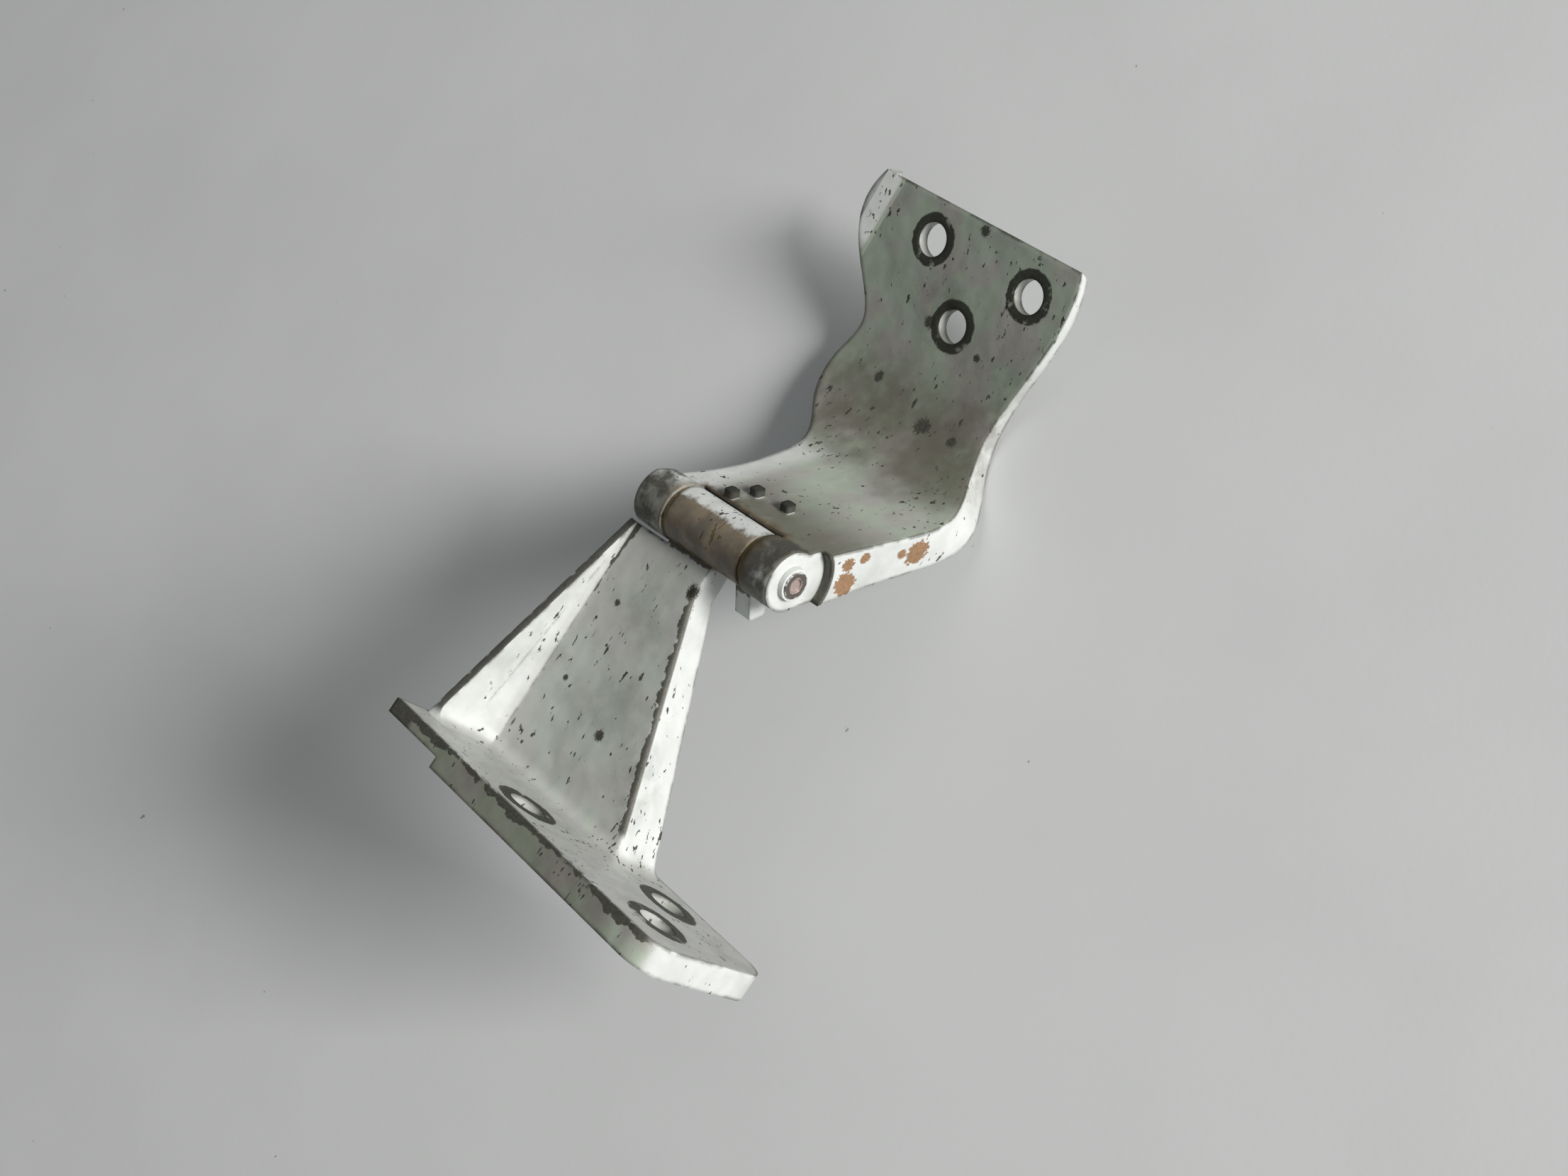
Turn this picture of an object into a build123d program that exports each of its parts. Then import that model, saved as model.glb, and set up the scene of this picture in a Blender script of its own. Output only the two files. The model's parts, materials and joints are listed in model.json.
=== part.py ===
from build123d import *
from math import cos, hypot, radians, sin
import os

os.makedirs("parts", exist_ok=True)

# A forged van door hinge in millimetres. The pin runs along Y through the origin, the arm
# runs along +X to its mounting plate, and the bracket drops away towards -X and -Z.

# Pin, bushes and knuckle
PIN_R = 4.0
PIN_HEAD_R = 4.8
PIN_HEAD_H = 1.6
PIN_PROUD = 2.1
PIN_DIMPLE_R = 2.0
PIN_DIMPLE_DEPTH = 0.6
RUNNING_GAP = 0.05
BUSH_WALL = 1.45
BUSH_LENGTH = 12.0
BUSH_FLANGE_R = 8.0
BUSH_FLANGE_T = 1.2
KNUCKLE_R = 8.6
KNUCKLE_HALF = 15.5
SIDE_GAP = 0.3
BUSH_IN_R = PIN_R + RUNNING_GAP
BUSH_OUT_R = BUSH_IN_R + BUSH_WALL

# Eyes of the bracket, and the slot between them that the knuckle turns in
EYE_R = 9.0
EYE_W = 11.5
EYE_INNER = KNUCKLE_HALF + BUSH_FLANGE_T + SIDE_GAP
EYE_OUTER = EYE_INNER + EYE_W
PIN_HALF = EYE_OUTER + PIN_PROUD
SPOT_FACE_R = 12.2
SLOT_GAP = 0.8
SLOT_R = KNUCKLE_R + SLOT_GAP
SLOT_DEPTH = 7.0

# Neck of the bracket, seen along the pin: the angles of its two faces, their distances from
# the pin's axis and the radii of the bend below them
INNER_ANGLE = 233.8
INNER_OFFSET = 7.0
INNER_BEND_R = 40.0
OUTER_ANGLE = 230.0
OUTER_OFFSET = EYE_R
OUTER_BEND_R = 44.0

# Mounting plate of the bracket: the tilt and distance from the pin of its inner face
TILT = 23.4
PLATE_B_OFFSET = 76.2
PLATE_B_T = 3.8
HOLE_B_R = 5.2
PLATE_B_HOLES = [(-109.0, -24.0), (-106.0, 16.2), (-89.7, -6.3)]

# Outline of the bracket from above: its two wavy sides and the slanted top edge
SHOULDER_X = -6.0
SHOULDER_Y = 31.4
RIGHT_SIDE = [(-24.0, 33.8), (-38.0, 34.2), (-52.0, 26.8), (-67.0, 21.4), (-84.0, 25.0), (-101.0, 30.6)]
RIGHT_TOP = (-117.6, 30.8)
LEFT_SIDE = [(-27.0, -23.3), (-41.0, -29.2), (-54.0, -41.4), (-67.0, -44.0), (-80.0, -40.2), (-92.0, -46.6)]
LEFT_TOP = (-121.6, -49.6)
CUTTER_TOP = 20.0
CUTTER_H = 90.0

# Edge turned up on the left of the bracket's plate, and the studs on its neck
LIP_START = (-94.0, -47.0)
LIP_W = 3.2
LIP_START_H = 0.3
LIP_H = 3.4
LIP_SUNK = 1.0
STUD = 3.6
STUD_H = 2.4
STUD_PLACES = [(-7.9, 8.9), (-5.1, 16.1), (6.2, 17.6)]

# Mounting plate of the arm, turned a little about Z as the photo shows it
PLATE_A_X = 88.0
PLATE_A_YAW = 1.85
PLATE_A_T = 8.0
PLATE_A_TOP = 32.0
PLATE_A_BOTTOM = -20.0
PLATE_A_LEFT = -40.5
PLATE_A_RIGHT = 79.0
PLATE_A_CORNER_R = 9.0
TIP_END = -16.0
TIP_STEP = 3.4
HOLE_A_R = 5.25
PLATE_A_HOLES = [(10.0, 19.8), (63.0, 15.2), (48.8, -5.2)]

# Web and flanges of the arm, seen from above
WEB_TOP = 0.5
WEB_T = 5.0
WEB_BOTTOM = WEB_TOP - WEB_T
WEB_FRONT = 9.9
LEFT_ROOT = [(WEB_FRONT, -29.4), (PLATE_A_X, -35.6)]
LEFT_FLANGE_T = 3.4
LEFT_FLANGE_FRONT = WEB_TOP + 0.3
LEFT_FLANGE_BACK = 22.5
ROOT_FRONT = 0.3
ROOT_BACK = 6.5
ROOT_SUNK = 1.0
ARM_RIGHT_Y = 3.0
RIGHT_EDGE = [(17.5, ARM_RIGHT_Y), (PLATE_A_X, 30.5)]
RIGHT_FLANGE_T = 4.2
RIGHT_FLANGE_FRONT = -KNUCKLE_R
RIGHT_FLANGE_BACK = -17.5
LAP = 3.0

# Stop lug under the right end of the knuckle
LUG_ANGLE = -44.0
LUG_REACH = 19.0
LUG_W = 6.0
LUG_T = 6.0

# Forging radii
CORNER_R = 5.0
OUTER_CORNER_R = 6.0
RIM_R = 1.5
EDGE_R = 1.0


def unit(angle):
    """Direction in the X-Z plane at an angle from +X towards +Z."""
    return cos(radians(angle)), sin(radians(angle))


def neck_point(angle, offset, along, side):
    """Point on a face of the neck, along it from the foot of the pin's axis."""
    ux, uz = unit(angle)
    return ux * along + side * uz * offset, uz * along - side * ux * offset


def neck_corner(angle, offset, side, depth):
    """Where a face of the neck meets the plane that lies depth behind the plate's inner face."""
    ux, uz = unit(angle)
    fx, fz = neck_point(angle, offset, 0, side)
    nx, nz = sin(radians(TILT)), cos(radians(TILT))
    along = (-PLATE_B_OFFSET - depth - nx * fx - nz * fz) / (nx * ux + nz * uz)
    return neck_point(angle, offset, along, side)


def plate_b_point(x, depth=0.0):
    """Point at x on the bracket plate's inner face, moved depth back through the plate."""
    nx, nz = sin(radians(TILT)), cos(radians(TILT))
    z = (-PLATE_B_OFFSET - nx * x) / nz
    return x - nx * depth, z - nz * depth


def along_line(points, along, shift=0.0):
    """Point of the plan at a distance along a line, moved to the line's left by shift."""
    (ax, ay), (bx, by) = points
    ux, uy = (bx - ax) / length(points), (by - ay) / length(points)
    return ax + ux * along - uy * shift, ay + uy * along + ux * shift


def length(points):
    """Distance between two points of the plan."""
    (ax, ay), (bx, by) = points
    return hypot(bx - ax, by - ay)


def standing_plane(points):
    """Upright plane through two points of the plan, facing to the right of the line."""
    (ax, ay), (bx, by) = points
    return Plane(origin=(ax, ay, 0), x_dir=(bx - ax, by - ay, 0), z_dir=(by - ay, ax - bx, 0))


def nearest_edges(part, *points):
    """For each point, the edge of the part that passes closest to it."""
    return [part.edges().sort_by_distance(point)[0] for point in points]


yaw_x, yaw_y = sin(radians(PLATE_A_YAW)), cos(radians(PLATE_A_YAW))
plate_a = Plane(origin=(PLATE_A_X, 0, 0), x_dir=(yaw_x, yaw_y, 0), z_dir=(yaw_y, -yaw_x, 0))


def plate_a_point(y, z, depth=0.0):
    """Point at y and z on the arm plate's inner face, moved depth out through the plate."""
    return tuple(plate_a.from_local_coords((y, z, depth)))


# Arm: its mounting plate first, the outer side stepped in at the left tip
with BuildPart() as arm_leaf:
    with BuildSketch(plate_a) as outline:
        with BuildLine():
            Polyline(
                (PLATE_A_LEFT, PLATE_A_TOP),
                (PLATE_A_RIGHT, PLATE_A_TOP),
                (PLATE_A_RIGHT, PLATE_A_BOTTOM),
                (PLATE_A_HOLES[0][0], PLATE_A_BOTTOM),
                (LEFT_ROOT[1][1] - LEFT_FLANGE_T, WEB_BOTTOM - WEB_T),
                close=True,
            )
        make_face()
        fillet(outline.vertices().sort_by(Axis.X)[-2:], PLATE_A_CORNER_R)
    extrude(amount=PLATE_A_T)
    with BuildSketch(plate_a.offset(PLATE_A_T)):
        with Locations((PLATE_A_LEFT, PLATE_A_TOP)):
            Rectangle(2 * (TIP_END - PLATE_A_LEFT), 2 * (PLATE_A_TOP - PLATE_A_BOTTOM))
    extrude(amount=-TIP_STEP, mode=Mode.SUBTRACT)

    # Web, the flange turned up on the left and the flange turned down on the right
    with BuildSketch(Plane.XY.offset(WEB_BOTTOM)):
        with BuildLine():
            Polyline(
                (0, -KNUCKLE_HALF),
                (WEB_FRONT, -KNUCKLE_HALF),
                LEFT_ROOT[0],
                along_line(LEFT_ROOT, length(LEFT_ROOT) + LAP),
                along_line(RIGHT_EDGE, length(RIGHT_EDGE) + LAP),
                RIGHT_EDGE[0],
                (0, ARM_RIGHT_Y),
                close=True,
            )
        make_face()
    extrude(amount=WEB_T)
    with BuildSketch(standing_plane(LEFT_ROOT)):
        with BuildLine():
            Polyline(
                (0, WEB_BOTTOM),
                (length(LEFT_ROOT) + LAP, WEB_BOTTOM),
                (length(LEFT_ROOT) + LAP, LEFT_FLANGE_BACK),
                (0, LEFT_FLANGE_FRONT),
                close=True,
            )
        make_face()
    extrude(amount=LEFT_FLANGE_T)
    for point, size in zip(LEFT_ROOT, (ROOT_FRONT, ROOT_BACK)):
        facing = standing_plane(LEFT_ROOT)
        with BuildSketch(Plane(origin=(*point, WEB_TOP), x_dir=-facing.z_dir, z_dir=facing.x_dir)):
            with BuildLine():
                Polyline(
                    (-ROOT_SUNK, -ROOT_SUNK),
                    (size, -ROOT_SUNK),
                    (size, 0),
                    (0, size),
                    (-ROOT_SUNK, size),
                    close=True,
                )
            make_face()
    loft()
    with BuildSketch(standing_plane(RIGHT_EDGE)):
        with BuildLine():
            Polyline(
                (0, WEB_TOP),
                (length(RIGHT_EDGE) + LAP, WEB_TOP),
                (length(RIGHT_EDGE) + LAP, RIGHT_FLANGE_BACK),
                (0, RIGHT_FLANGE_FRONT),
                close=True,
            )
        make_face()
    extrude(amount=RIGHT_FLANGE_T)
    with BuildSketch(Plane.XZ.offset(-ARM_RIGHT_Y)):
        with BuildLine():
            Polyline(
                (0, WEB_TOP),
                (RIGHT_EDGE[0][0] + RIGHT_FLANGE_T, WEB_TOP),
                (RIGHT_EDGE[0][0] + RIGHT_FLANGE_T, RIGHT_FLANGE_FRONT),
                (0, RIGHT_FLANGE_FRONT + EDGE_R),
                close=True,
            )
        make_face()
    extrude(amount=RIGHT_FLANGE_T)

    # Knuckle and its stop lug
    with BuildSketch(Plane.XZ):
        Circle(KNUCKLE_R)
    extrude(amount=KNUCKLE_HALF, both=True)
    with BuildSketch(Plane.XZ.offset(-KNUCKLE_HALF)):
        with Locations((unit(LUG_ANGLE)[0] * LUG_REACH / 2, unit(LUG_ANGLE)[1] * LUG_REACH / 2)):
            Rectangle(LUG_REACH, LUG_W, rotation=LUG_ANGLE)
    extrude(amount=LUG_T)

    # Bolt holes in the plate and the bore for the bushes
    with BuildSketch(plate_a):
        with Locations(*PLATE_A_HOLES):
            Circle(HOLE_A_R)
    extrude(amount=PLATE_A_T, mode=Mode.SUBTRACT)
    with BuildSketch(Plane.XZ):
        Circle(BUSH_OUT_R)
    extrude(amount=KNUCKLE_HALF, both=True, mode=Mode.SUBTRACT)

    # Forging radii: inside corners at the plate, then the outer edges of web, flange and lug
    web_middle = (LEFT_ROOT[1][1] + RIGHT_EDGE[1][1]) / 2
    flange_middle = (WEB_TOP + ROOT_BACK + LEFT_FLANGE_BACK) / 2
    fillet(
        nearest_edges(
            arm_leaf,
            plate_a_point(web_middle, WEB_TOP),
            plate_a_point(LEFT_ROOT[1][1] + ROOT_BACK / 2, WEB_TOP + ROOT_BACK / 2),
            plate_a_point(LEFT_ROOT[1][1], flange_middle),
        ),
        CORNER_R,
    )
    fillet(nearest_edges(arm_leaf, plate_a_point(RIGHT_EDGE[1][1], PLATE_A_BOTTOM / 2)), OUTER_CORNER_R)
    half_edge = along_line(RIGHT_EDGE, length(RIGHT_EDGE) / 2)
    fillet(nearest_edges(arm_leaf, (*half_edge, WEB_TOP)), RIM_R)
    half_root = along_line(LEFT_ROOT, length(LEFT_ROOT) / 2, -LEFT_FLANGE_T)
    half_height = (LEFT_FLANGE_FRONT + LEFT_FLANGE_BACK) / 2
    fillet(nearest_edges(arm_leaf, (*half_root, half_height)), RIM_R)
    lug_corners = [(LUG_REACH, LUG_W / 2), (LUG_REACH, -LUG_W / 2)]
    lug_end = unit(LUG_ANGLE)
    for reach, across in lug_corners:
        x, z = lug_end[0] * reach - lug_end[1] * across, lug_end[1] * reach + lug_end[0] * across
        fillet(nearest_edges(arm_leaf, (x, KNUCKLE_HALF - LUG_T / 2, z)), EDGE_R)
arm_leaf.part.label = "arm_leaf"
export_step(arm_leaf.part, "parts/arm_leaf.step")

# Bracket: one side profile for neck, bend and plate, trimmed to its outline from above
with BuildPart() as bracket_leaf:
    inner_corner = neck_corner(INNER_ANGLE, INNER_OFFSET, 1, 0)
    outer_corner = neck_corner(OUTER_ANGLE, OUTER_OFFSET, -1, PLATE_B_T)
    with BuildSketch(Plane.XZ) as side:
        with BuildLine():
            Polyline(
                neck_point(INNER_ANGLE, INNER_OFFSET, 0, 1),
                inner_corner,
                plate_b_point(LEFT_TOP[0] - LAP),
                plate_b_point(LEFT_TOP[0] - LAP, PLATE_B_T),
                outer_corner,
                neck_point(OUTER_ANGLE, OUTER_OFFSET, 0, -1),
                close=True,
            )
        make_face()
        fillet(side.vertices().sort_by_distance((*inner_corner, 0))[0], INNER_BEND_R)
        fillet(side.vertices().sort_by_distance((*outer_corner, 0))[0], OUTER_BEND_R)
        Circle(EYE_R)
    extrude(amount=2 * EYE_OUTER, both=True)
    with BuildSketch(Plane.XY.offset(CUTTER_TOP)) as above:
        with BuildLine():
            Spline((SHOULDER_X, SHOULDER_Y), *RIGHT_SIDE, RIGHT_TOP)
            Line(RIGHT_TOP, LEFT_TOP)
            Spline(LEFT_TOP, *reversed(LEFT_SIDE), (SHOULDER_X, -EYE_OUTER))
            Polyline(
                (SHOULDER_X, -EYE_OUTER),
                (EYE_R, -EYE_OUTER),
                (EYE_R, SHOULDER_Y),
                (SHOULDER_X, SHOULDER_Y),
            )
        make_face()
    extrude(amount=-CUTTER_H, mode=Mode.INTERSECT)

    # Edge turned up on the left of the plate
    lip = [LIP_START, LEFT_TOP]
    for (x, y), height in zip(lip, (LIP_START_H, LIP_H)):
        px, pz = plate_b_point(x, LIP_SUNK)
        normal = Vector(sin(radians(TILT)), 0, cos(radians(TILT)))
        down = Vector(lip[0][0] - lip[1][0], lip[0][1] - lip[1][1], 0)
        down -= normal * down.dot(normal)
        with BuildSketch(Plane(origin=(px, y, pz), x_dir=normal.cross(down) * -1, z_dir=down)):
            with BuildLine():
                Polyline(
                    (0, 0),
                    (-LIP_W, 0),
                    (-LIP_W, LIP_SUNK),
                    (-LIP_W / 2, LIP_SUNK + height),
                    (0, LIP_SUNK + height),
                    close=True,
                )
            make_face()
    loft(ruled=True)

    # Spot face on the right eye, the slot for the knuckle and the hole for the pin
    with BuildSketch(Plane.XZ.offset(-EYE_OUTER)):
        Circle(SPOT_FACE_R)
    extrude(amount=-EYE_OUTER, mode=Mode.SUBTRACT)
    with BuildSketch(Plane.XZ):
        Circle(SLOT_R)
        back = SLOT_DEPTH - 1.5 * SLOT_R
        with Locations((unit(OUTER_ANGLE)[0] * back, unit(OUTER_ANGLE)[1] * back)):
            Rectangle(3 * SLOT_R, 3 * SLOT_R, rotation=OUTER_ANGLE)
    extrude(amount=EYE_INNER, both=True, mode=Mode.SUBTRACT)
    with BuildSketch(Plane.XZ):
        Circle(PIN_R)
    extrude(amount=2 * EYE_OUTER, both=True, mode=Mode.SUBTRACT)

    # Studs on the neck and bolt holes in the plate
    for y, along in STUD_PLACES:
        x, z = neck_point(INNER_ANGLE, INNER_OFFSET - LIP_SUNK, along, 1)
        nx, nz = neck_point(INNER_ANGLE, 1, 0, 1)
        ux, uz = unit(INNER_ANGLE)
        with BuildSketch(Plane(origin=(x, y, z), x_dir=(ux, 0, uz), z_dir=(nx, 0, nz))):
            RectangleRounded(STUD, STUD, STUD / 4)
        extrude(amount=LIP_SUNK + STUD_H)
    for x, y in PLATE_B_HOLES:
        px, pz = plate_b_point(x)
        with BuildSketch(Plane(origin=(px, y, pz), z_dir=(sin(radians(TILT)), 0, cos(radians(TILT))))):
            Circle(HOLE_B_R)
        extrude(amount=2 * PLATE_B_T, both=True, mode=Mode.SUBTRACT)
bracket_leaf.part.label = "bracket_leaf"
export_step(bracket_leaf.part, "parts/bracket_leaf.step")

# Pin, fixed in the eyes, each end riveted over and dimpled
with BuildPart() as hinge_pin:
    with BuildSketch(Plane.XZ):
        Circle(PIN_R)
    extrude(amount=PIN_HALF, both=True)
    for end in (1, -1):
        with BuildSketch(Plane.XZ.offset(end * EYE_OUTER)):
            Circle(PIN_HEAD_R)
        extrude(amount=end * PIN_HEAD_H)
        with BuildSketch(Plane.XZ.offset(end * PIN_HALF)):
            Circle(PIN_DIMPLE_R)
        extrude(amount=-end * PIN_DIMPLE_DEPTH, mode=Mode.SUBTRACT)
hinge_pin.part.label = "hinge_pin"
export_step(hinge_pin.part, "parts/hinge_pin.step")


def flanged_bush(side):
    """Bush pressed into one end of the knuckle; side is 1 for the right end and -1 for the left."""
    with BuildPart() as bush:
        with BuildSketch(Plane.XZ.offset(-side * KNUCKLE_HALF)):
            Circle(BUSH_OUT_R)
        extrude(amount=side * BUSH_LENGTH)
        with BuildSketch(Plane.XZ.offset(-side * KNUCKLE_HALF)):
            Circle(BUSH_FLANGE_R)
        extrude(amount=-side * BUSH_FLANGE_T)
        with BuildSketch(Plane.XZ):
            Circle(BUSH_IN_R)
        extrude(amount=2 * KNUCKLE_HALF, both=True, mode=Mode.SUBTRACT)
    return bush.part


for name, side in (("bush_left", -1), ("bush_right", 1)):
    bush_part = flanged_bush(side)
    bush_part.label = name
    export_step(bush_part, f"parts/{name}.step")
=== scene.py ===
import bpy
import json
import math
from mathutils import Matrix, Vector


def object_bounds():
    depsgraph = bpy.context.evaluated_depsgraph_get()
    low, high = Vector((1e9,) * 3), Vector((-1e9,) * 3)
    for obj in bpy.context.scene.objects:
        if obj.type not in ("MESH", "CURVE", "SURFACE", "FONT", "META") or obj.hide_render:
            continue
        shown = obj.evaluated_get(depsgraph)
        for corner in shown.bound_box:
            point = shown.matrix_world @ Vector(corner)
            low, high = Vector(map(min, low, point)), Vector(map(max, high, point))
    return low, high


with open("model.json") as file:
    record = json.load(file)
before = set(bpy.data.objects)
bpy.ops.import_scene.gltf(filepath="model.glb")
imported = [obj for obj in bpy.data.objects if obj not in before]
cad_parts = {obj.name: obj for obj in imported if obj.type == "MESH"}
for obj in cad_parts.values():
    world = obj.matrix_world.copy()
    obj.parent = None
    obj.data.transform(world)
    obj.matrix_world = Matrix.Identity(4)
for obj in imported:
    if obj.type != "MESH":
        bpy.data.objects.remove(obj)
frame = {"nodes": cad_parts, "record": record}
cad_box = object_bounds()
scene = bpy.context.scene
node_objects = frame["nodes"]

# Camera, fitted to the photograph: a 43.6 mm lens on a 36 mm wide frame
SENSOR_WIDTH = 36
LENS = 2678 / 2212 * SENSOR_WIDTH
CLIP_START = 0.01
CAMERA_AT = Vector((-0.006, 0.335, 0.410))
CAMERA_RIGHT = Vector((-0.546, 0.665, -0.510))
CAMERA_BACK = Vector((-0.016, 0.600, 0.800))

# Light: a soft key from the photograph's right and a dim sky, in metres and watts
KEY_FROM = Vector((-0.38, 0.86, 0.33))
KEY_AWAY = 3.4
KEY_SIZE = 1.15
KEY_POWER = 166.0
KEY_COLOUR = (1.0, 0.98, 0.95)
SKY = (0.86, 0.88, 0.88)
SKY_POWER = 0.24

# Floor, in metres
FLOOR_HALF = 3.0
FLOOR_GAP = 0.0005
FLOOR_ROUGHNESS = 0.9
FLOOR_SHINE = 0.15


def shade(colour, share):
    """A darker shade of a colour."""
    return tuple(part * share for part in colour)


# Colours, linear
FLOOR_COLOUR = (0.70, 0.715, 0.72)
FLOOR_CLOUD = shade(FLOOR_COLOUR, 0.96)
WHITE = (0.585, 0.605, 0.595)
DULL_WHITE = shade(WHITE, 0.9)
# Painted shade: grey-green and grey-brown stand in for shade on faces turned from the lamp and in inner
# corners
SHADE_GREEN = (0.33, 0.385, 0.31)
SHADE_BROWN = (0.335, 0.325, 0.30)
# Dirt, also used as painted shade in the bend, along the neck, on the arm's plate and inside the holes
DIRT_AND_SHADE = (0.10, 0.095, 0.07)
# Bare steel, also used as painted shade on the bracket's step
STEEL_AND_SHADE = (0.055, 0.055, 0.048)
RING = (0.028, 0.029, 0.021)
TAN = (0.36, 0.215, 0.12)
DARK_TAN = shade(TAN, 0.72)
GREASE = (0.145, 0.105, 0.055)
OLD_GREASE = shade(GREASE, 0.45)
PIN_PINK = (0.46, 0.37, 0.34)
DARK_PINK = shade(PIN_PINK, 0.7)
BRONZE = (0.42, 0.31, 0.13)
DARK_BRONZE = (0.20, 0.14, 0.05)

# The object's axes, and the line of the pin
X, Y, Z = 0, 1, 2
UP = (0, 0, 1)
PIN_AT = (0, 0, 0)
PIN_ALONG = (0, 1, 0)

# Holes, read from the record, and the radii of their washer marks in millimetres
mounts = {mount["name"]: mount for mount in frame["record"]["mounts"]}
MARK_R = {"arm": 9.0, "bracket": 8.1}

# Paint: how far its edges are rounded and worn, and how deep the crevices are that stay covered and darker
# with painted shade, in millimetres, with the turn and stretch of the specks and scratches, and the depth
# of relief in metres
SOFT_EDGE = {"arm": 1.6, "bracket": 2.2}
WORN_REACH = 2.4
CREVICE = 3.0
SLANT = (0.0, 0.0, math.radians(9))
SPECK_STRETCH = (SLANT, (0.45, 1.0, 1.0))
SCRATCH_STRETCH = (SLANT, (0.16, 1.5, 1.5))
CROWDING = 0.09
RELIEF = 0.0004
METAL_EDGE = 0.5

# Arm: lines and directions of its forms in millimetres. A pair says where a mask begins and
# where it is full, along an axis of the object or away from a line.
PLATE_A_X = 88.0
PLATE_A_YAW = math.radians(1.85)
PLATE_A_OUT = (math.cos(PLATE_A_YAW), -math.sin(PLATE_A_YAW), 0)
PLATE_A_TOP_Z = (28.0, 30.0)
PLATE_A_RIM_Z = (29.5, 31.5)
PLATE_A_SHADE_Y = (66.0, 56.0)
PLATE_A_TIP_Y = (-29.0, -31.5)
PLATE_A_INNER_X = (84.0, 86.0)
RIDGE_INSET = 0.6
RIDGE_HALF = (1.4, 0.9)
WEB_Z = (3.0, 1.5)
LEFT_ACROSS = (0.0791, 0.9969, 0.0)
LEFT_FOOT = -28.9
LEFT_TOP_UP = (-0.27, 0, 0.96)
LEFT_TOP_HALF = (2.7, 2.1)
LEFT_TOP_X = (86.0, 83.0)
RIGHT_ACROSS = (-0.3634, 0.9316, 0.0)
RIGHT_EDGE_AT = -3.57
RIGHT_TOP_FROM = (-2.3, -1.8)
RIGHT_TOP_Z = (-0.8, -0.2)
RIGHT_TOP_START_X = (14.0, 17.0)
RIGHT_TOP_END_X = (84.0, 81.0)
KNUCKLE_FOOT_X = 9.0
KNUCKLE_FOOT_HALF = (1.2, 0.7)
KNUCKLE_FOOT_Z = (4.5, 3.0)
KNUCKLE_FOOT_UP = (0.3, 0, 1)
KNUCKLE_R = (9.4, 8.7)
KNUCKLE_GREASE_X = (-5.6, -3.6)
NOTCH_AT = (17.0, 2.2, 0.5)
NOTCH_REACH = 1.7

# Arm: stains (place, reach and strength) and bare spots (place and reach)
ARM_STAINS = [((56, 2, 0.5), 9, 0.25), ((68, 22, 0.5), 8, 0.25), ((30, -8, 0.5), 8, 0.2)]
ARM_BARE = [
    ((65, 2, 0.5), 1.6),
    ((32, -19, 0.5), 1.0),
    ((18, 2, 0.5), 1.6),
    ((58, -20, 0.5), 0.9),
]

# Bracket: the same for its forms
PLATE_B_UP = (0.3, 0, 1)
PLATE_B_BACK = (-0.397, 0, -0.918)
INNER_X = (-19.0, -31.0)
BEND_X = (-84.0, -62.0)
NECK_OUT = (-0.807, 0.0, 0.5906)
NECK_FACE = 7.0
NECK_SHADE_Y = (-20.0, -12.0)
NECK_PATCHY_SHADE_X = (-30.0, -12.0)
NECK_PATCHY_SHADE_Y = (-16.0, -8.0)
STUD_PLACES = [(-12.0, -7.9, -2.2), (-16.2, -5.1, -8.0), (-17.1, 6.2, -9.2)]
STUD_RISE = (0.1, 0.5)
STUD_REACH = (3.6, 3.2)
LIP_ACROSS = (0.287, 0.958, 0.0)
LIP_FOOT = -74.1
LIP_RISE_MOST = 8.0
LIP_X = (-93.0, -101.0)
LIP_WHITE_RISE = (0.8, 2.2)
STEP_INNER_R = (11.7, 12.1)
STEP_OUTER_R = (13.4, 12.9)
STEP_Y = (28.3, 28.7)
EYE_R = (10.4, 9.4)
LEFT_EYE_Y = (-17.0, -20.0)
RIGHT_EYE_END_Y = (28.0, 26.5)
RIGHT_EYE_START_Y = (10.0, 12.0)
RIGHT_EYE_Z = (-3.0, 0.5)
SLOT_R = (12.5, 9.5)
SLOT_LEFT_Y = (-20.0, -16.0)
SLOT_RIGHT_Y = (21.0, 17.0)

# Bracket: stains, bare spots, and the patches of primer on its side wall (place and reach)
BRACKET_STAINS = [
    ((-60, -22, -50), 15, 0.55),
    ((-51, 3, -48), 17, 0.45),
    ((-61, 20, -50), 13, 0.5),
    ((-92, -11, -43), 10, 0.4),
    ((-80, 14, -48), 14, 0.3),
]
BRACKET_BARE = [
    ((-67, -24.5, -50.8), 1.6),
    ((-60, 0, -50.3), 2.6),
    ((-60, 12, -50.3), 1.6),
    ((-94, -9, -42.4), 1.8),
    ((-88, -15, -45), 1.8),
    ((-117, -6.4, -32.3), 1.6),
    ((-85, 6, -46.5), 1.2),
]
BRACKET_PATCHES = [
    ((-7.5, 31.5, -17), 3.8),
    ((-12.5, 32, -13), 2.2),
    ((-16.6, 33, -17), 1.8),
    ((-26.3, 34.2, -34.5), 4.0),
    ((-23.4, 33.7, -29.2), 1.6),
]

# Pin: the dark ring on its ends lies between two radii, with paint outside it
PIN_RING_INNER_R = (2.1, 2.5)
PIN_RING_OUTER_R = (4.2, 3.7)
PIN_PAINT_R = (3.6, 4.1)
PIN_STEEL_R = (4.1, 3.6)


def camera():
    """The camera at the photograph's viewing angle."""
    data = bpy.data.cameras.new("camera")
    data.lens = LENS
    data.sensor_width = SENSOR_WIDTH
    data.clip_start = CLIP_START
    back = CAMERA_BACK.normalized()
    right = (CAMERA_RIGHT - back * CAMERA_RIGHT.dot(back)).normalized()
    turn = Matrix((right, back.cross(right), back)).transposed().to_4x4()
    obj = bpy.data.objects.new("camera", data)
    obj.matrix_world = Matrix.Translation(CAMERA_AT) @ turn
    scene.collection.objects.link(obj)
    scene.camera = obj


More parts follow.
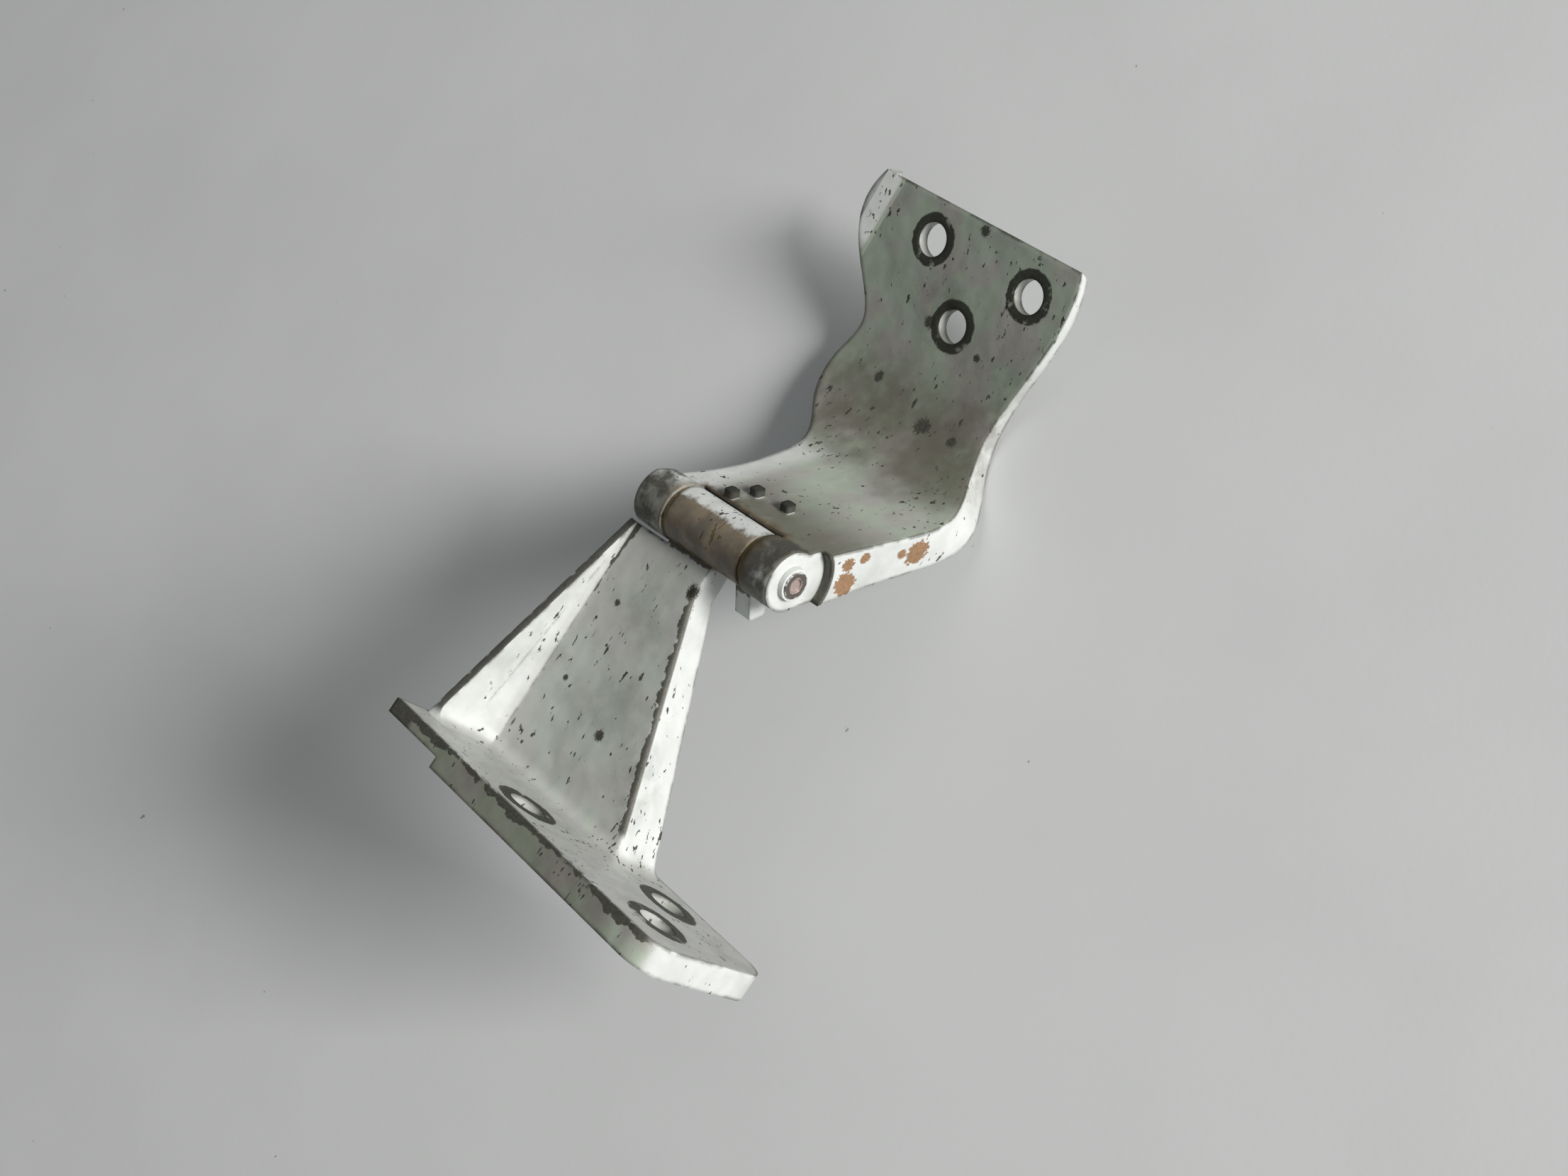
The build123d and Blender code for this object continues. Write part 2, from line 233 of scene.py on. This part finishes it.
def lights():
    """A large soft lamp and the sky."""
    data = bpy.data.lights.new("key", "AREA")
    data.shape = "SQUARE"
    data.size = KEY_SIZE
    data.energy = KEY_POWER
    data.color = KEY_COLOUR
    obj = bpy.data.objects.new("key", data)
    obj.location = KEY_FROM.normalized() * KEY_AWAY
    obj.rotation_euler = KEY_FROM.to_track_quat("Z", "Y").to_euler()
    scene.collection.objects.link(obj)
    world = bpy.data.worlds.new("sky")
    world.use_nodes = True
    background = world.node_tree.nodes["Background"]
    background.inputs["Color"].default_value = (*SKY, 1)
    background.inputs["Strength"].default_value = SKY_POWER
    scene.world = world
    scene.view_settings.view_transform = "Standard"


class Shader:
    """A material's node tree, with short calls for the nodes that it uses."""

    def __init__(self, name):
        self.material = bpy.data.materials.new(name)
        self.material.use_nodes = True
        self.tree = self.material.node_tree
        self.tree.nodes.clear()
        out = self.tree.nodes.new("ShaderNodeOutputMaterial")
        self.bsdf = self.tree.nodes.new("ShaderNodeBsdfPrincipled")
        self.tree.links.new(self.bsdf.outputs[0], out.inputs[0])
        coordinates = self.tree.nodes.new("ShaderNodeTexCoord")
        self.place = self.vector("SCALE", coordinates.outputs["Object"], scale=1000)
        self.own_normal = coordinates.outputs["Normal"]

    def set(self, socket, value):
        """Links or types a value into a socket."""
        if hasattr(value, "is_linked"):
            self.tree.links.new(value, socket)
        elif isinstance(value, tuple) and len(value) == 3 and socket.type == "RGBA":
            socket.default_value = (*value, 1)
        else:
            socket.default_value = value

    def math(self, operation, *values, clamp=False):
        node = self.tree.nodes.new("ShaderNodeMath")
        node.operation = operation
        node.use_clamp = clamp
        for socket, value in zip(node.inputs, values):
            self.set(socket, value)
        return node.outputs[0]

    def vector(self, operation, first, second=None, scale=None):
        node = self.tree.nodes.new("ShaderNodeVectorMath")
        node.operation = operation
        self.set(node.inputs[0], first)
        if second is not None:
            self.set(node.inputs[1], second)
        if scale is not None:
            self.set(node.inputs["Scale"], scale)
        gives_number = operation in ("LENGTH", "DOT_PRODUCT", "DISTANCE")
        return node.outputs["Value"] if gives_number else node.outputs[0]

    def plus(self, first, second):
        return self.math("ADD", first, second)

    def minus(self, first, second):
        return self.math("SUBTRACT", first, second)

    def times(self, first, second):
        return self.math("MULTIPLY", first, second)

    def either(self, *masks):
        """The largest of some masks."""
        total = masks[0]
        for mask in masks[1:]:
            total = self.math("MAXIMUM", total, mask)
        return total

    def both(self, *masks):
        """The product of some masks."""
        total = masks[0]
        for mask in masks[1:]:
            total = self.times(total, mask)
        return total

    def ramp(self, value, low, high):
        """0 at low and 1 at high, smooth between; low may be the larger."""
        node = self.tree.nodes.new("ShaderNodeMapRange")
        node.interpolation_type = "SMOOTHSTEP"
        node.clamp = True
        flipped = low > high
        self.set(node.inputs["Value"], value)
        node.inputs["From Min"].default_value = min(low, high)
        node.inputs["From Max"].default_value = max(low, high)
        node.inputs["To Min"].default_value = 1.0 if flipped else 0.0
        node.inputs["To Max"].default_value = 0.0 if flipped else 1.0
        return node.outputs["Result"]

    def mix(self, amount, first, second):
        node = self.tree.nodes.new("ShaderNodeMix")
        node.data_type = "RGBA"
        self.set(node.inputs["Factor"], amount)
        self.set(node.inputs[6], first)
        self.set(node.inputs[7], second)
        return node.outputs[2]

    def noise(self, per_mm, detail, seed, stretch=None, rough=0.55):
        """Noise on the object's own millimetres, moved by its seed, and stretched if asked."""
        place = self.place
        if stretch is not None:
            node = self.tree.nodes.new("ShaderNodeMapping")
            node.inputs["Rotation"].default_value = stretch[0]
            node.inputs["Scale"].default_value = stretch[1]
            self.set(node.inputs["Vector"], place)
            place = node.outputs[0]
        moved = self.vector("ADD", place, (seed * 31.7, seed * 17.3, seed * 9.1))
        node = self.tree.nodes.new("ShaderNodeTexNoise")
        self.set(node.inputs["Vector"], moved)
        node.inputs["Scale"].default_value = per_mm
        node.inputs["Detail"].default_value = detail
        node.inputs["Roughness"].default_value = rough
        return node.outputs[0]

    def torn(self, value, per_mm, seed, amount, detail=5):
        """A value with noise added, from minus to plus half the amount."""
        return self.plus(value, self.times(self.minus(self.noise(per_mm, detail, seed), 0.5), amount))

    def along(self, axis):
        """One coordinate of the place, in millimetres."""
        node = self.tree.nodes.new("ShaderNodeSeparateXYZ")
        self.set(node.inputs[0], self.place)
        return node.outputs[axis]

    def within(self, axis, limits):
        """A mask along an axis, which begins at the first limit and is full at the second."""
        return self.ramp(self.along(axis), *limits)

    def facing(self, direction, low=0.5, high=0.9):
        """1 where the surface faces a direction of the object, in every pose."""
        toward = self.vector("DOT_PRODUCT", self.own_normal, direction)
        return self.ramp(toward, low, high)

    def near(self, centre, reach, ragged, seed, soft=0.25):
        """1 inside a ragged ball about a point, in millimetres."""
        away = self.vector("DISTANCE", self.place, centre)
        away = self.torn(away, 3.2 / reach, seed, 4 * ragged * reach)
        return self.ramp(away, reach * (1 + soft), reach * (1 - soft))

    def from_axis(self, centre, axis):
        """Distance from a line, in millimetres."""
        arm = self.vector("SUBTRACT", self.place, tuple(centre))
        return self.vector("LENGTH", self.vector("CROSS_PRODUCT", arm, tuple(axis)))

    def from_pin(self):
        """Distance from the pin's line, in millimetres."""
        return self.from_axis(PIN_AT, PIN_ALONG)

    def plane(self, normal, offset):
        """Height above a plane of the object, in millimetres."""
        return self.minus(self.vector("DOT_PRODUCT", self.place, normal), offset)

    def rounded(self, reach_mm):
        """The normal, rounded over the edges."""
        node = self.tree.nodes.new("ShaderNodeBevel")
        node.samples = 5
        node.inputs["Radius"].default_value = reach_mm / 1000
        return node.outputs[0]

    def lean(self, reach_mm):
        """How far the rounded normal leans from the flat one."""
        flat = self.tree.nodes.new("ShaderNodeNewGeometry").outputs["Normal"]
        toward = self.vector("DOT_PRODUCT", self.rounded(reach_mm), flat)
        return self.math("SUBTRACT", 1.0, toward, clamp=True)

    def openness(self, reach_mm):
        """1 on open and outer surfaces, less in the inner corners."""
        node = self.tree.nodes.new("ShaderNodeAmbientOcclusion")
        node.samples = 8
        node.only_local = True
        node.inputs["Distance"].default_value = reach_mm / 1000
        return node.outputs["AO"]

    def bump(self, height, normal, strength, distance):
        """The normal of a relief; distance is what a height of 1 stands for, in metres."""
        node = self.tree.nodes.new("ShaderNodeBump")
        node.inputs["Strength"].default_value = strength
        node.inputs["Distance"].default_value = distance
        self.set(node.inputs["Height"], height)
        if normal is not None:
            self.set(node.inputs["Normal"], normal)
        return node.outputs[0]

    def finish(self, colour, roughness, metallic, height, normal, strength):
        self.set(self.bsdf.inputs["Base Color"], colour)
        self.set(self.bsdf.inputs["Roughness"], roughness)
        self.set(self.bsdf.inputs["Metallic"], metallic)
        self.set(self.bsdf.inputs["Normal"], self.bump(height, normal, strength, RELIEF))
        return self.material


def hole_marks(shader, leaf):
    """Washer marks round a leaf's holes on the side of the bolt heads, and the insides of the holes, for
    painted shade.
    """
    marks, wall_shade = [], []
    for name, mount in mounts.items():
        if not name.startswith(leaf + "_hole"):
            continue
        axis = Vector(mount["axis"]).normalized()
        hole_r = mount["dims"]["r_mm"]
        away = shader.from_axis(Vector(mount["pos_m"]) * 1000, axis)
        ragged = shader.torn(away, 0.5, len(marks), 1.6, detail=4)
        mark = shader.ramp(ragged, MARK_R[leaf] + 0.35, MARK_R[leaf] - 0.25)
        marks.append(shader.both(mark, shader.facing(tuple(axis))))
        wall_shade.append(shader.ramp(away, hole_r + 0.25, hole_r + 0.05))
    worn = shader.ramp(shader.noise(0.2, 4, 17), 0.28, 0.42)
    return shader.both(shader.either(*marks), worn), shader.either(*wall_shade)


def scattered(shader, seed, back):
    """Crowded specks and slanting scratches, on every side but the back."""
    crowd = shader.times(shader.ramp(shader.noise(0.05, 3, seed + 12), 0.35, 0.75), CROWDING)
    specks = shader.plus(shader.noise(0.55, 3, seed + 11, SPECK_STRETCH), crowd)
    specks = shader.ramp(specks, 0.69, 0.725)
    scratches = shader.plus(shader.noise(0.5, 2, seed + 13, SCRATCH_STRETCH), crowd)
    scratches = shader.times(shader.ramp(scratches, 0.755, 0.79), 0.8)
    front = shader.minus(1.0, shader.facing(back))
    return shader.both(shader.either(specks, scratches), front)


def worn_edges(shader, seed, fine, openness):
    """Worn outer edges, in stretches, torn by fine and broad noise."""
    lean = shader.lean(WORN_REACH)
    ragged = shader.plus(lean, shader.times(shader.minus(fine, 0.5), 0.3))
    ragged = shader.torn(ragged, 0.22, seed + 21, 0.55)
    stretches = shader.ramp(shader.noise(0.11, 4, seed + 22), 0.44, 0.54)
    outer = shader.ramp(openness, 0.55, 0.8)
    return shader.both(shader.ramp(ragged, 0.10, 0.15), outer, shader.ramp(lean, 0.07, 0.10), stretches)


def white_with_dirt_and_shade(shader, seed, cloudy, openness, masks, stains):
    """White, painted grey-green where it lies in shade and in inner corners, mottled with a dusty layer,
    grime and stains, and painted shade in the bend, along the neck and on the arm's plate.
    """
    colour = shader.mix(shader.ramp(cloudy, 0.35, 0.7), WHITE, DULL_WHITE)
    shade_mottle = shader.ramp(shader.noise(0.06, 4, seed + 6), 0.42, 0.62)
    # Painted shade: grey-green, mottled with grey-brown, where the leaf's mask marks a face as lying in
    # shade
    colour = shader.mix(masks["painted_shade"](shader), colour, shader.mix(shade_mottle, SHADE_GREEN, SHADE_BROWN))
    darkening = shader.ramp(shader.noise(0.045, 3, seed), 0.5, 0.72)
    colour = shader.mix(shader.times(darkening, 0.22), colour, DIRT_AND_SHADE)
    # Painted shade in the creases and inner corners
    crease_shade = shader.ramp(openness, 0.85, 0.4)
    colour = shader.mix(shader.times(crease_shade, 0.34), colour, SHADE_GREEN)
    # Painted shade from the leaf's masks, with the arm's inner plate face darker
    colour = shader.mix(masks["dirt_and_shade"](shader), colour, DIRT_AND_SHADE)
    for count, (centre, reach, amount) in enumerate(stains):
        stain = shader.near(centre, reach, 0.3, seed + 3 + count, 0.6)
        stain = shader.both(stain, shader.ramp(cloudy, 0.2, 0.6))
        colour = shader.mix(shader.times(stain, amount), colour, DIRT_AND_SHADE)
    return colour


def paint(leaf, seed, masks, back, stains=(), bare=(), patches=()):
    """Chipped white paint over dark forged steel, with painted shade on faces, in inner corners, inside the
    holes and on the bracket's step.
    """
    shader = Shader(leaf + "_paint")
    openness = shader.openness(CREVICE)
    cloudy = shader.noise(0.16, 5, seed + 1)
    fine = shader.noise(1.4, 6, seed + 2, rough=0.65)
    colour = white_with_dirt_and_shade(shader, seed, cloudy, openness, masks, stains)

    # Bare steel at the worn edges, specks and spots, with painted shade as dark steel on the bracket's
    # step, then the patches of primer
    chips_and_shade = shader.either(
        worn_edges(shader, seed, fine, openness),
        scattered(shader, seed, back),
        masks["dark"](shader),
        *[shader.near(centre, reach, 0.5, seed + 15 + count) for count, (centre, reach) in enumerate(bare)],
    )
    colour = shader.mix(chips_and_shade, colour, shader.mix(shader.ramp(fine, 0.4, 0.7), STEEL_AND_SHADE, DIRT_AND_SHADE))
    for count, (centre, reach) in enumerate(patches):
        patch = shader.near(centre, reach, 0.4, seed + 31 + count, 0.06)
        colour = shader.mix(patch, colour, shader.mix(shader.ramp(fine, 0.35, 0.65), TAN, DARK_TAN))
        chips_and_shade = shader.either(chips_and_shade, patch)

    # Grease, painted shade on the walls of the holes, and the blackened marks
    oily = shader.mix(shader.ramp(cloudy, 0.35, 0.65), GREASE, OLD_GREASE)
    colour = shader.mix(masks["grease"](shader), colour, oily)
    marks, wall_shade = hole_marks(shader, leaf)
    marks = shader.times(shader.either(marks, masks["black"](shader)), 0.94)
    # Painted shade inside the holes
    colour = shader.mix(shader.times(wall_shade, 0.35), colour, DIRT_AND_SHADE)
    colour = shader.mix(marks, colour, shader.mix(shader.ramp(fine, 0.35, 0.8), RING, STEEL_AND_SHADE))

    # Shine and relief
    damaged_and_shade = shader.either(chips_and_shade, marks)
    metallic = shader.either(shader.times(chips_and_shade, 0.35), shader.times(marks, 0.3))
    roughness = shader.plus(0.36, shader.times(cloudy, 0.22))
    roughness = shader.plus(roughness, shader.times(damaged_and_shade, 0.12))
    shine = shader.minus(0.5, shader.times(marks, 0.38))
    shader.set(shader.bsdf.inputs["Specular IOR Level"], shine)
    height = shader.times(shader.noise(0.32, 4, seed + 41), 0.35)
    height = shader.plus(height, shader.times(fine, 0.12))
    height = shader.minus(height, shader.times(damaged_and_shade, 0.3))
    form = shader.bump(masks["form"](shader), shader.rounded(SOFT_EDGE[leaf]), 1.0, 0.001)
    return shader.finish(colour, roughness, metallic, height, form, 0.45)


def arm_upper(shader):
    """The plate's upper face."""
    return shader.both(shader.facing(UP), shader.within(Z, PLATE_A_TOP_Z))


def arm_painted_shade(shader):
    """Painted shade: the web and the plate's upper face, turned away from the lamp, go grey-green; the
    flanges, in the light, stay white.
    """
    web = shader.both(shader.facing(UP), shader.within(Z, WEB_Z))
    return shader.either(shader.times(web, 0.55), arm_upper(shader))


def arm_plate_shade(shader):
    """Painted shade on the plate's upper face, and its inner face darker."""
    upper = shader.both(arm_upper(shader), shader.within(Y, PLATE_A_SHADE_Y))
    darkening = shader.both(shader.facing((-1, 0, 0)), shader.within(X, PLATE_A_INNER_X))
    return shader.either(shader.times(upper, 0.55), shader.times(darkening, 0.42))


def arm_dark(shader):
    """Bare steel along the plate's upper edge, the flanges' tops and the foot of the knuckle."""
    high = shader.within(Z, PLATE_A_RIM_Z)
    inner_face = shader.plane(PLATE_A_OUT, PLATE_A_X * PLATE_A_OUT[0] + RIDGE_INSET)
    ridge = shader.torn(shader.math("ABSOLUTE", inner_face), 0.16, 3, 9.0)
    ridge = shader.both(high, shader.ramp(ridge, *RIDGE_HALF))
    tip = shader.torn(shader.along(Y), 0.2, 4, 6.0)
    tip = shader.both(high, shader.ramp(tip, *PLATE_A_TIP_Y))
    left = shader.torn(shader.math("ABSOLUTE", shader.plane(LEFT_ACROSS, LEFT_FOOT)), 0.28, 5, 4.2)
    left = shader.both(
        shader.ramp(left, *LEFT_TOP_HALF),
        shader.facing(LEFT_TOP_UP, 0.7, 0.9),
        shader.within(X, LEFT_TOP_X),
    )
    right = shader.torn(shader.plane(RIGHT_ACROSS, RIGHT_EDGE_AT), 0.3, 6, 5.5)
    right = shader.both(
        shader.ramp(right, *RIGHT_TOP_FROM),
        shader.within(Z, RIGHT_TOP_Z),
        shader.within(X, RIGHT_TOP_START_X),
        shader.within(X, RIGHT_TOP_END_X),
    )
    foot = shader.torn(shader.math("ABSOLUTE", shader.minus(shader.along(X), KNUCKLE_FOOT_X)), 0.45, 7, 3.5)
    foot = shader.both(
        shader.ramp(foot, *KNUCKLE_FOOT_HALF),
        shader.within(Z, KNUCKLE_FOOT_Z),
        shader.facing(KNUCKLE_FOOT_UP, 0.3, 0.6),
    )
    return shader.times(shader.either(ridge, tip, left, right, foot), 0.93)


def arm_black(shader):
    """A blackened notch where the right flange meets the knuckle."""
    return shader.near(NOTCH_AT, NOTCH_REACH, 1.0, 11)


def arm_grease(shader):
    """Old grease on the knuckle, with streaks of paint left along its back."""
    barrel = shader.ramp(shader.from_pin(), *KNUCKLE_R)
    front = shader.ramp(shader.torn(shader.along(X), 0.4, 5, 5.0), *KNUCKLE_GREASE_X)
    return shader.times(shader.both(barrel, front), 0.9)


def arm_form(shader):
    """Faint hollows of the forging, in millimetres."""
    return shader.times(shader.noise(0.06, 2, 8), 1.2)


def lip_height(shader):
    """Rise of the plate's surface towards its upturned left edge, in millimetres."""
    rise = shader.times(shader.plane(LIP_ACROSS, LIP_FOOT), -1.0)
    rise = shader.math("MINIMUM", shader.math("MAXIMUM", rise, 0.0), LIP_RISE_MOST)
    return shader.both(rise, shader.within(X, LIP_X))


def bracket_painted_shade(shader):
    """Painted shade: the plate and bend go grey-green, the neck a little, where they lie in shade; the side
    wall and the upturned lip, in the light, stay white.
    """
    inner = shader.both(shader.facing(PLATE_B_UP, 0.3, 0.7), shader.within(X, INNER_X))
    neck = shader.both(shader.facing(NECK_OUT, 0.3, 0.7), shader.within(Y, NECK_SHADE_Y))
    flat = shader.minus(1.0, shader.ramp(lip_height(shader), *LIP_WHITE_RISE))
    return shader.times(shader.either(inner, shader.times(neck, 0.85)), flat)


def bracket_patchy_shade(shader):
    """Painted shade, in patches, in the bend and along the neck."""
    # Painted shade where the bend curves away from the light
    bend = shader.both(
        shader.within(X, BEND_X),
        shader.facing(PLATE_B_UP, 0.3, 0.7),
        shader.ramp(shader.noise(0.05, 3, 108), 0.25, 0.6),
    )
    neck = shader.both(
        shader.within(X, NECK_PATCHY_SHADE_X),
        shader.facing(NECK_OUT, 0.3, 0.7),
        shader.within(Y, NECK_PATCHY_SHADE_Y),
        shader.ramp(shader.noise(0.09, 4, 111), 0.1, 0.45),
    )
    return shader.either(shader.times(bend, 0.76), shader.times(neck, 0.86))


def bracket_step_shade_and_wear(shader):
    """Painted shade as dark steel on the step wall beside the right eye, and the worn sides of both eyes.
    """
    away = shader.from_pin()
    # Painted shade: the step wall faces away from the lamp
    step = shader.both(
        shader.ramp(away, *STEP_INNER_R),
        shader.ramp(away, *STEP_OUTER_R),
        shader.within(Y, STEP_Y),
    )
    left = shader.both(
        shader.ramp(shader.torn(shader.along(Y), 0.35, 7, 9.0), *LEFT_EYE_Y),
        shader.ramp(away, *EYE_R),
        shader.ramp(shader.noise(0.2, 6, 109), 0.36, 0.62),
    )
    right = shader.both(
        shader.ramp(shader.torn(shader.along(Y), 0.35, 8, 4.0), *RIGHT_EYE_END_Y),
        shader.within(Y, RIGHT_EYE_START_Y),
        shader.ramp(away, *EYE_R),
        shader.ramp(shader.torn(shader.along(Z), 0.4, 9, 6.0), *RIGHT_EYE_Z),
        shader.ramp(shader.noise(0.17, 5, 112), 0.30, 0.52),
    )
    return shader.times(shader.either(step, left, right), 0.9)


def bracket_black(shader):
    """The studs, near black."""
    above = shader.ramp(shader.plane(NECK_OUT, NECK_FACE), *STUD_RISE)
    spots = []
    for place in STUD_PLACES:
        spots.append(shader.ramp(shader.vector("DISTANCE", shader.place, place), *STUD_REACH))
    return shader.both(above, shader.either(*spots))


def bracket_grease(shader):
    """Brown grease along the slot."""
    slot = shader.ramp(shader.torn(shader.from_pin(), 0.3, 9, 8.0), *SLOT_R)
    between = shader.both(shader.within(Y, SLOT_LEFT_Y), shader.within(Y, SLOT_RIGHT_Y))
    return shader.times(shader.both(slot, between), 0.8)


def bracket_form(shader):
    """The hollow that rises to the upturned edge, and faint hollows of the forging, in millimetres."""
    hollow = shader.times(lip_height(shader), 0.75)
    return shader.plus(hollow, shader.times(shader.noise(0.05, 2, 110), 1.0))


def bush_metal():
    """Dull bronze with grime in it."""
    shader = Shader("bush_bronze")
    fine = shader.noise(1.8, 6, 71)
    broad = shader.noise(0.35, 4, 72)
    colour = shader.mix(shader.ramp(fine, 0.3, 0.7), DARK_BRONZE, BRONZE)
    colour = shader.mix(shader.times(shader.ramp(broad, 0.5, 0.7), 0.7), colour, DIRT_AND_SHADE)
    roughness = shader.plus(0.4, shader.times(broad, 0.25))
    return shader.finish(colour, roughness, 0.55, fine, shader.rounded(METAL_EDGE), 0.4)


def pin_metal():
    """The pin: white paint at the rim of its ends, a dark ring and a pinkish worn middle."""
    shader = Shader("pin_steel")
    fine = shader.noise(1.8, 6, 51)
    ragged = shader.torn(shader.from_pin(), 0.7, 52, 1.8, detail=4)
    ring = shader.both(shader.ramp(ragged, *PIN_RING_INNER_R), shader.ramp(ragged, *PIN_RING_OUTER_R))
    colour = shader.mix(shader.ramp(fine, 0.35, 0.7), PIN_PINK, DARK_PINK)
    colour = shader.mix(shader.ramp(ragged, *PIN_PAINT_R), colour, WHITE)
    colour = shader.mix(shader.times(ring, 0.85), colour, STEEL_AND_SHADE)
    roughness = shader.plus(0.4, shader.times(fine, 0.25))
    metallic = shader.times(shader.ramp(ragged, *PIN_STEEL_R), 0.5)
    return shader.finish(colour, roughness, metallic, fine, shader.rounded(METAL_EDGE), 0.4)


def floor():
    """A plain pale floor with faint clouds and a few specks of dust."""
    mesh = bpy.data.meshes.new("floor")
    corners = [(-1, -1), (1, -1), (1, 1), (-1, 1)]
    mesh.from_pydata([(x * FLOOR_HALF, y * FLOOR_HALF, 0) for x, y in corners], [], [(0, 1, 2, 3)])
    obj = bpy.data.objects.new("floor", mesh)
    obj.location.z = cad_box[0][2] - FLOOR_GAP
    scene.collection.objects.link(obj)
    shader = Shader("floor")
    clouds = shader.ramp(shader.noise(0.012, 3, 61), 0.3, 0.7)
    dust = shader.ramp(shader.noise(0.16, 3, 62), 0.775, 0.79)
    colour = shader.mix(clouds, FLOOR_COLOUR, FLOOR_CLOUD)
    colour = shader.mix(shader.times(dust, 0.6), colour, DIRT_AND_SHADE)
    shader.bsdf.inputs["Specular IOR Level"].default_value = FLOOR_SHINE
    grain = shader.noise(0.5, 3, 63)
    mesh.materials.append(shader.finish(colour, FLOOR_ROUGHNESS, 0.0, grain, None, 0.05))


def dress(node, material):
    """Gives a node its material through its slot."""
    slots = node_objects[node].data.materials
    if len(slots) == 0:
        slots.append(material)
    for index in range(len(slots)):
        slots[index] = material


ARM_MASKS = {
    "painted_shade": arm_painted_shade,
    "dirt_and_shade": arm_plate_shade,
    "dark": arm_dark,
    "black": arm_black,
    "grease": arm_grease,
    "form": arm_form,
}
BRACKET_MASKS = {
    "painted_shade": bracket_painted_shade,
    "dirt_and_shade": bracket_patchy_shade,
    "dark": bracket_step_shade_and_wear,
    "black": bracket_black,
    "grease": bracket_grease,
    "form": bracket_form,
}

camera()
lights()
floor()
dress("arm_leaf", paint("arm", 0, ARM_MASKS, (1, 0, 0), ARM_STAINS, ARM_BARE))
dress("bracket_leaf", paint(
    "bracket", 100, BRACKET_MASKS, PLATE_B_BACK, BRACKET_STAINS, BRACKET_BARE, BRACKET_PATCHES,
))
dress("hinge_pin", pin_metal())
bronze = bush_metal()
dress("bush_left", bronze)
dress("bush_right", bronze)
